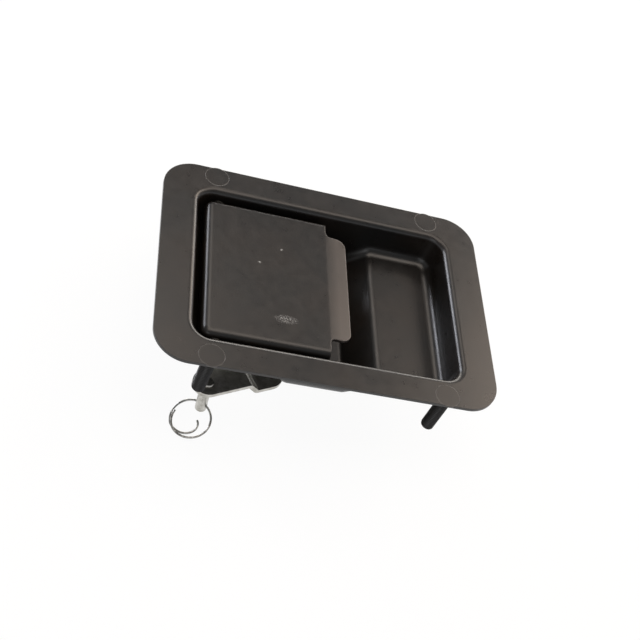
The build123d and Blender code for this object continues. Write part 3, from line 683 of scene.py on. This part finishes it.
def departure(target, radius, sense):
    """Angle where a straight line to a target leaves a circle that is turned round in one sense."""
    distance = hypot(*target)
    bearing = degrees(atan2(target[1], target[0]))
    return bearing - sense * degrees(atan2(sqrt(distance**2 - radius**2), radius))


def torsion_spring_points(wire, radius, turns, fixed, moving, rest_radius, overrun, hook):
    """Line of a close coil on the Z axis with a leg to a fixed point and a leg to a moving one."""
    start = departure(fixed, radius, -1)
    end = departure(moving, radius + rest_radius, 1)
    turned = 360 * turns + end - start
    rise = (wire + COIL_GAP) / 360
    steps = round(turned / COIL_STEP)
    begin = Vector((radius * cos(radians(start)), radius * sin(radians(start)), 0))
    points = [Vector((*fixed, 0)).lerp(begin, s) for s in (0, 0.3, 0.6, 0.85)]
    for step in range(steps + 1):
        angle = turned * step / steps
        around = radians(start + angle)
        points.append(Vector((radius * cos(around), radius * sin(around), rise * angle)))
    leave = points[-1]
    onward = Vector((-sin(radians(end)), cos(radians(end)), 0))
    length = sqrt(hypot(*moving) ** 2 - (radius + rest_radius) ** 2) + overrun
    bend = 1.2 * wire if hook else 0.0
    points += [leave + onward * (length - bend) * s for s in (0.15, 0.4, 0.7, 1.0)]
    if hook:
        corner = leave + onward * length
        points += [corner + Vector((0, 0, bend + (hook - bend) * s)) for s in (0.0, 0.5, 1.0)]
    return points


class LATCH_OT_springs(bpy.types.Operator):
    """Wind the paddle's and the lever's return springs"""

    bl_idname = "latch.springs"
    bl_label = "Return springs"

    def execute(self, context):
        sizes = context.scene.latch_sizes
        colours = context.scene.latch_colours
        wire = spring_wire("Zinc on music wire", colours.wire, linear("#7d7a73"), 0.26, 0.40)
        self.paddle_spring(sizes, wire)
        self.lever_spring(sizes, wire)
        return {"FINISHED"}

    def paddle_spring(self, sizes, material):
        """Coil on the hinge pin: one leg on the platform, one hooked round the drive finger."""
        thickness = sizes.paddle_spring_wire
        hinge = next(joint for joint in frame["joints"] if joint["name"] == "paddle_hinge")["pos_m"]
        low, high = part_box("paddle_return_spring")
        finger_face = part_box("drive_finger")[0][0] + FINGER_THICKNESS - hinge[0]
        foot_reach, hook_drop = 4.0 * MM, 4.0 * MM
        foot = (-foot_reach, low[2] + thickness / 2 - hinge[2])
        hook = (finger_face + thickness / 2 + REST_GAP, -hook_drop)
        radius, turns, hook_length = 3.2 * MM, 6, 4.5 * MM
        local = torsion_spring_points(thickness, radius, turns, foot, hook, 0.0, 0.0, hook_length)
        start = high[1] - thickness / 2
        points = [Vector((hinge[0] + p.x, start - p.z, hinge[2] + p.y)) for p in local]
        coil = wire_curve("paddle_spring_wire", points, thickness * WIRE_FIT)
        finish_piece(coil, "housing", "spring", material, "paddle_return_spring")

    def lever_spring(self, sizes, material):
        """Coil on the pivot post: one leg on the side of the well, one behind the drive pin."""
        thickness = sizes.lever_spring_wire
        low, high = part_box("lever_return_spring")
        post_low, post_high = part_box("pivot_post")
        pin_low, pin_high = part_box("drive_pin")
        post = Vector(((post_low[0] + post_high[0]) / 2, (post_low[1] + post_high[1]) / 2, 0))
        pin = Vector(((pin_low[0] + pin_high[0]) / 2, (pin_low[1] + pin_high[1]) / 2, 0))
        foot_reach = 8.0 * MM
        foot = (high[0] - thickness / 2 - post.x, -foot_reach)
        target = (pin.x - post.x, post.y - pin.y)
        rest = DRIVE_PIN_RADIUS + thickness / 2 + REST_GAP
        radius, turns, overrun = 6.0 * MM, 5, 3.0 * MM
        local = torsion_spring_points(thickness, radius, turns, foot, target, rest, overrun, 0.0)
        start = high[2] - thickness / 2
        points = [Vector((post.x + p.x, post.y - p.y, start - p.z)) for p in local]
        coil = wire_curve("lever_spring_wire", points, thickness * WIRE_FIT)
        finish_piece(coil, "housing", "spring", material, "lever_return_spring")


# ---------------------------------------------------------------- stage
def aimed_area(name, place, target, size, power, colour):
    """Rectangular soft light at a place, turned to a target."""
    light = bpy.data.lights.new(name, "AREA")
    light.shape = "RECTANGLE"
    light.size, light.size_y = size
    light.energy = power
    light.color = linear(colour)[:3]
    lamp = linked(name, light)
    lamp.location = place
    lamp.rotation_euler = (Vector(target) - Vector(place)).to_track_quat("-Z", "Y").to_euler()


class LATCH_OT_stage(bpy.types.Operator):
    """Set the floor, the soft lights, the surroundings and the camera"""

    bl_idname = "latch.stage"
    bl_label = "Stage"

    def execute(self, context):
        colours = context.scene.latch_colours
        self.floor(colours)
        self.surroundings(context)
        for light in SOFT_LIGHTS:
            aimed_area(*light)
        self.camera(context)
        return {"FINISHED"}

    def floor(self, colours):
        """Pale floor that stays white to the camera and takes a faint shadow."""
        bm = bmesh.new()
        bmesh.ops.create_grid(bm, x_segments=4, y_segments=4, size=4.0)
        floor = mesh_object("floor", bm)
        floor.location.z = cad_box[0][2] - 0.4 * MM
        material, tree, shader, mm = new_material("Matt painted floor")
        blotches = add(tree, "ShaderNodeTexNoise", clouds(400.0), {"Vector": mm})
        share = add(tree, "ShaderNodeMapRange", span(0.3, 0.7), {"Value": blotches.outputs["Fac"]})
        paint = add(
            tree, "ShaderNodeMix", {6: colours.floor, 7: linear("#f2f2f1")},
            {"Factor": share.outputs["Result"]}, data_type="RGBA",
        )
        tree.links.new(paint.outputs[2], shader.inputs["Base Color"])
        shader.inputs["Roughness"].default_value = 0.9
        rays = add(tree, "ShaderNodeLightPath")
        seen = add(
            tree, "ShaderNodeMath",
            links={0: rays.outputs["Is Camera Ray"], 1: rays.outputs["Is Glossy Ray"]}, operation="MAXIMUM",
        )
        part = add(tree, "ShaderNodeMath", {1: 0.93}, {0: seen.outputs[0]}, operation="MULTIPLY")
        white = add(tree, "ShaderNodeEmission", {"Color": (1, 1, 1, 1), "Strength": 1.0})
        mix = add(
            tree, "ShaderNodeMixShader",
            links={0: part.outputs[0], 1: shader.outputs["BSDF"], 2: white.outputs["Emission"]},
        )
        output = next(node for node in tree.nodes if node.bl_idname == "ShaderNodeOutputMaterial")
        tree.links.new(mix.outputs["Shader"], output.inputs["Surface"])
        floor.data.materials.append(material)

    def surroundings(self, context):
        """Dim room with pale walls round its foot, white to the camera."""
        world = bpy.data.worlds.new("Pale room")
        context.scene.world = world
        world.use_nodes = True
        tree = world.node_tree
        tree.nodes.clear()
        rays = add(tree, "ShaderNodeLightPath")
        direction = add(tree, "ShaderNodeTexCoord").outputs["Generated"]
        rise = add(tree, "ShaderNodeSeparateXYZ", links={"Vector": direction}).outputs["Z"]
        glow = add(tree, "ShaderNodeMapRange", span(0.45, 0.15, 0.36, 1.2), {"Value": rise})
        room = add(
            tree, "ShaderNodeBackground", {"Color": linear("#e9ecf0")},
            {"Strength": glow.outputs["Result"]},
        )
        white = add(tree, "ShaderNodeBackground", {"Color": (1, 1, 1, 1), "Strength": 1.0})
        mix = add(
            tree, "ShaderNodeMixShader",
            links={0: rays.outputs["Is Camera Ray"], 1: room.outputs[0], 2: white.outputs[0]},
        )
        add(tree, "ShaderNodeOutputWorld", links={"Surface": mix.outputs["Shader"]})

    def camera(self, context):
        """Three-quarter view from above the lower left corner."""
        data = bpy.data.cameras.new("Camera")
        data.lens = CAMERA_LENS
        data.sensor_width = 36.0
        data.clip_start = 0.01
        camera = linked("Camera", data)
        camera.location = CAMERA_PLACE
        camera.rotation_euler = Euler([radians(turn) for turn in CAMERA_TURN], "XYZ")
        context.scene.camera = camera


# ---------------------------------------------------------------- panel and run
class LATCH_PT_panel(bpy.types.Panel):
    """Sizes, colours and the steps that dress the latch"""

    bl_idname = "LATCH_PT_panel"
    bl_label = "Paddle latch"
    bl_space_type = "VIEW_3D"
    bl_region_type = "UI"
    bl_category = "Latch"

    def draw(self, context):
        for group in (context.scene.latch_sizes, context.scene.latch_colours):
            box = self.layout.box()
            for name in group.__annotations__:
                box.prop(group, name)
        for step in STEPS:
            self.layout.operator(step.bl_idname)


STEPS = (
    LATCH_OT_dish, LATCH_OT_studs, LATCH_OT_paddle, LATCH_OT_lever,
    LATCH_OT_pivots, LATCH_OT_ring, LATCH_OT_springs, LATCH_OT_stage,
)
CLASSES = (LatchSizes, LatchColours, *STEPS, LATCH_PT_panel)


def register():
    """Registers the classes and the settings."""
    for item in CLASSES:
        bpy.utils.register_class(item)
    bpy.types.Scene.latch_sizes = bpy.props.PointerProperty(type=LatchSizes)
    bpy.types.Scene.latch_colours = bpy.props.PointerProperty(type=LatchColours)


def unregister():
    """Removes the settings and the classes."""
    del bpy.types.Scene.latch_colours
    del bpy.types.Scene.latch_sizes
    for item in reversed(CLASSES):
        bpy.utils.unregister_class(item)


def main():
    """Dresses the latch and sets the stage."""
    register()
    bpy.context.scene.view_settings.view_transform = "Standard"
    for step in STEPS:
        group, name = step.bl_idname.split(".")
        getattr(getattr(bpy.ops, group), name)()
    bpy.context.view_layer.update()


if __name__ == "__main__":
    main()
